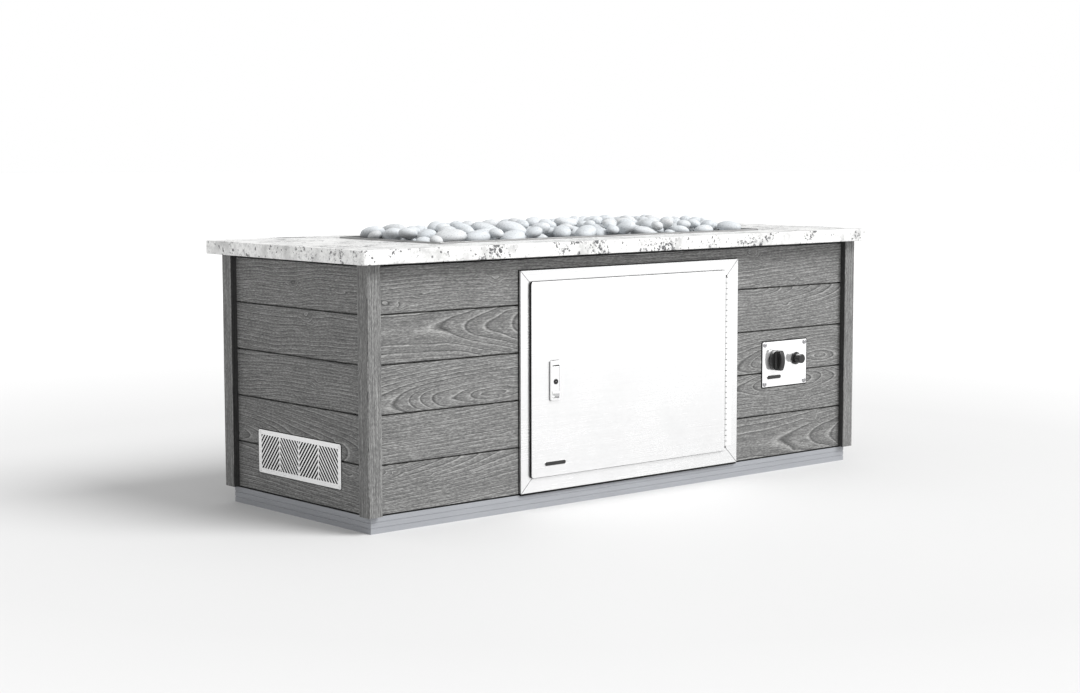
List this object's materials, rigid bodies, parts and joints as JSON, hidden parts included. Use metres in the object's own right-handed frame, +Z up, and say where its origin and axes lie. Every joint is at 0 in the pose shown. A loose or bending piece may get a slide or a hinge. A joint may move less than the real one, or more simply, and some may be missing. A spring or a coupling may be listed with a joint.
{
  "type": "gas fire pit",
  "caption": "Rectangular gas fire pit: stone top with a pebble-filled burner tray on a board-clad cabinet, hinged access door with latch, control knob, igniter and side vents.",
  "frame": {"origin": "centre of the footprint, on the floor", "axes": "+X along the length to the right as seen from the front, +Y to the back, +Z up; the door faces -Y"},
  "size_m": [1.868, 0.716, 0.7516],
  "materials": {
    "granite": "polished white granite with dark flecks",
    "river_stone": "smooth matt river pebble",
    "composite_board": "grey wood-plastic composite, embossed grain",
    "plinth_aluminium": "satin extrusion with fine flutes",
    "galvanised": "galvanised tube",
    "stainless": "fine brushed",
    "heat_dark_steel": "satin, darkened by heat inside",
    "ceramic": "glazed insulator",
    "lead_rubber": "matt high-voltage lead",
    "dark_plastic": "matt moulded",
    "pipe_aluminium": "drawn tube",
    "valve_brass": "machined",
    "knob_black": "black moulded",
    "lock_chrome": "bright"
  },
  "bodies": {
    "cabinet": {"back_boards": "composite_board", "burner_tray": "heat_dark_steel", "burner_tube": "stainless", "control_plate": "stainless", "corner_trim_back_left": "composite_board", "corner_trim_back_right": "composite_board", "corner_trim_front_left": "composite_board", "corner_trim_front_right": "composite_board", "countertop": "granite", "door_frame": "stainless", "frame_rails": "galvanised", "frame_uprights": "galvanised", "front_board_1_left": "composite_board", "front_board_1_right": "composite_board", "front_board_2_left": "composite_board", "front_board_2_right": "composite_board", "front_board_3_left": "composite_board", "front_board_3_right": "composite_board", "front_board_4_left": "composite_board", "front_board_4_right": "composite_board", "front_board_5_top": "composite_board", "gas_pipe": "pipe_aluminium", "gas_valve": "valve_brass", "hinge_leaf_frame": "stainless", "hinge_pin": "stainless", "igniter_bezel": "knob_black", "igniter_housing": "dark_plastic", "ignition_lead": "lead_rubber", "lead_clips": "dark_plastic", "left_board_1": "composite_board", "left_board_2": "composite_board", "left_board_3": "composite_board", "left_board_4": "composite_board", "left_board_5": "composite_board", "pebbles": "river_stone", "plate_screws": "stainless", "plinth_back": "plinth_aluminium", "plinth_front": "plinth_aluminium", "plinth_left": "plinth_aluminium", "plinth_right": "plinth_aluminium", "right_board_1": "composite_board", "right_board_2": "composite_board", "right_board_3": "composite_board", "right_board_4": "composite_board", "right_board_5": "composite_board", "spark_electrode": "ceramic", "vent_left": "stainless", "vent_right": "stainless", "vent_screws": "stainless"},
    "door": {"door_skin": "stainless", "door_liner": "stainless", "hinge_leaf_door": "stainless", "latch_housing": "stainless", "latch_pivot_pin": "stainless"},
    "latch_paddle": {"latch_paddle": "stainless"},
    "lock_cylinder": {"lock_cylinder": "lock_chrome"},
    "latch_bolt": {"latch_bolt": "stainless"},
    "valve_stem": {"valve_stem": "valve_brass"},
    "control_knob": {"control_knob": "knob_black"},
    "igniter_button": {"igniter_button": "knob_black"}
  },
  "joints": [
    {"name": "door_hinge", "type": "hinge", "parent": "cabinet", "child": "door", "pos_m": [0.3555, -0.32, 0.342], "axis": [0, 0, 1], "range_deg": [0, 120]},
    {"name": "paddle_pull", "type": "hinge", "parent": "door", "child": "latch_paddle", "pos_m": [-0.297, -0.3272, 0.3726], "axis": [-1, 0, 0], "range_deg": [0, 35], "stiffness_Nm_per_rad": 0.05},
    {"name": "bolt_slide", "type": "slide", "parent": "door", "child": "latch_bolt", "axis": [1, 0, 0], "range_m": [0, 0.012]},
    {"name": "lock_turn", "type": "hinge", "parent": "latch_paddle", "child": "lock_cylinder", "pos_m": [-0.297, -0.3298, 0.3346], "axis": [0, -1, 0], "range_deg": [0, 90]},
    {"name": "knob_push", "type": "slide", "parent": "cabinet", "child": "valve_stem", "axis": [0, 1, 0], "range_m": [0, 0.003], "stiffness_N_per_m": 800},
    {"name": "knob_turn", "type": "hinge", "parent": "valve_stem", "child": "control_knob", "pos_m": [0.5723, -0.318, 0.327], "axis": [0, -1, 0], "range_deg": [0, 210]},
    {"name": "button_press", "type": "slide", "parent": "cabinet", "child": "igniter_button", "axis": [0, 1, 0], "range_m": [0, 0.0045], "stiffness_N_per_m": 600}
  ],
  "couplings": [
    {"joint": "bolt_slide", "follows": "paddle_pull", "m_per_rad": 0.0196}
  ]
}
